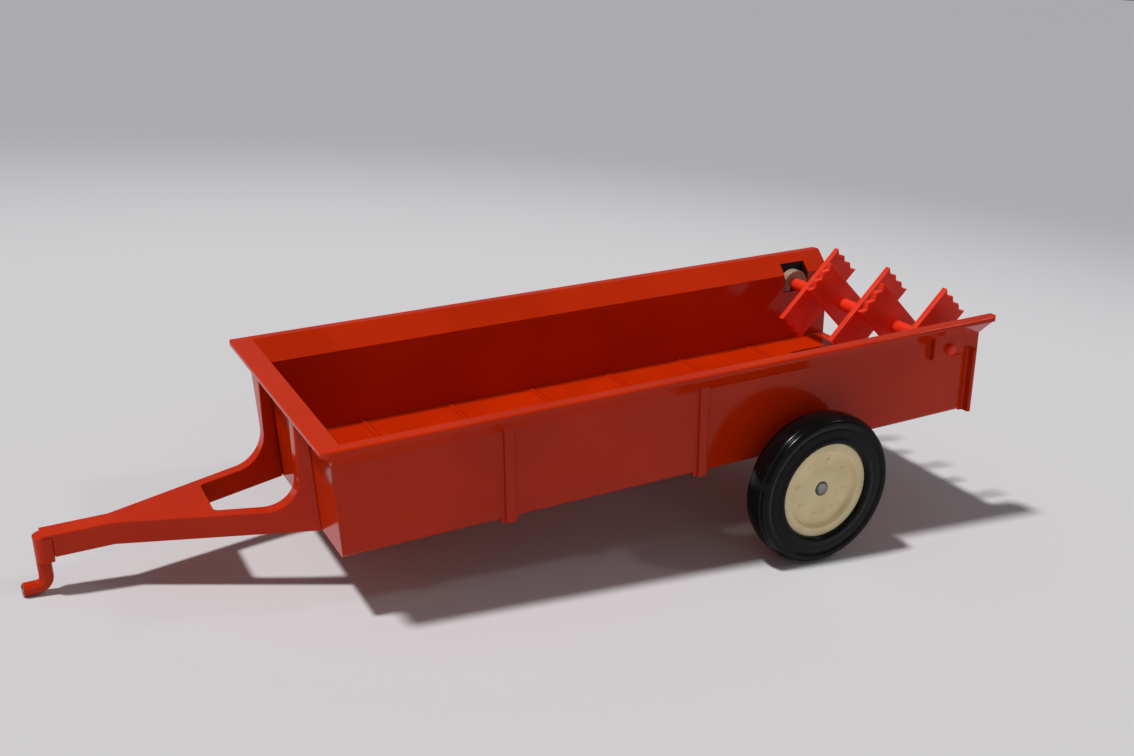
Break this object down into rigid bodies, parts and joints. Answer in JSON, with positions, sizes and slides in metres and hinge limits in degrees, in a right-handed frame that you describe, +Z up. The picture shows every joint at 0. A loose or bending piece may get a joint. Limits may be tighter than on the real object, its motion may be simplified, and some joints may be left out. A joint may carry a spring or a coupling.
{
  "type": "toy manure spreader",
  "caption": "Die-cast toy manure spreader: flared tub open at the rear, forked drawbar with a hook, free-turning wheels on one axle, and a serrated-paddle beater.",
  "frame": {"origin": "centre of the bounding box, on the surface the toy stands on, parked on its wheels and hook", "axes": "+X forward to the hook, +Y left, +Z up; the tub slopes nose down as it parks"},
  "size_m": [0.2624, 0.1014, 0.0701],
  "materials": {
    "red_paint": "gloss orange-red enamel",
    "red_plastic": "moulded orange-red plastic",
    "cream_plastic": "moulded cream plastic",
    "black_rubber": "smooth black rubber",
    "bare_steel": "bright steel"
  },
  "bodies": {
    "spreader": {"tub": "red_paint", "drawbar": "red_paint", "hitch_hook": "red_paint", "axle": "bare_steel", "axle_ear_left": "red_paint", "axle_ear_right": "red_paint", "beater_saddle_left": "cream_plastic", "beater_saddle_right": "cream_plastic"},
    "wheel_left": {"wheel_hub_left": "cream_plastic", "tyre_left": "black_rubber"},
    "wheel_right": {"wheel_hub_right": "cream_plastic", "tyre_right": "black_rubber"},
    "rotor": {"beater": "red_plastic"}
  },
  "joints": [
    {"name": "wheel_left_spin", "type": "hinge", "parent": "spreader", "child": "wheel_left", "pos_m": [-0.06778, 0.04635, 0.0217], "axis": [0, 1, 0], "continuous": true},
    {"name": "wheel_right_spin", "type": "hinge", "parent": "spreader", "child": "wheel_right", "pos_m": [-0.06778, -0.04635, 0.0217], "axis": [0, 1, 0], "continuous": true},
    {"name": "beater_spin", "type": "hinge", "parent": "spreader", "child": "rotor", "pos_m": [-0.11626, 0, 0.0551], "axis": [0, 1, 0], "continuous": true}
  ]
}
